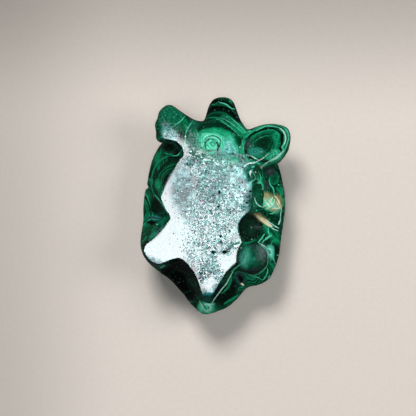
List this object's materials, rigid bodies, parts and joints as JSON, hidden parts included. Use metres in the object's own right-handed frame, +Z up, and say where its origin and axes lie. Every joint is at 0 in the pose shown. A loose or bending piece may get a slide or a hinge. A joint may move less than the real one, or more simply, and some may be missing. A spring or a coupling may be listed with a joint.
{
  "type": "malachite turtle carving",
  "caption": "Small turtle carved from one banded green stone, lying on its domed shell with its flat lapped underside up, stub feet, blunt head and pointed tail.",
  "frame": {"origin": "under the middle of the outline, on the surface that the crown of the shell rests on", "axes": "+Y from the tail to the head, +Z up through the flat underside, +X to the right with the head at the top of the picture"},
  "size_m": [0.0392, 0.0568, 0.019],
  "materials": {
    "malachite": "polished, with a lapped underside that is pitted in the middle"
  },
  "bodies": {
    "root": {"turtle": "malachite"}
  },
  "joints": []
}
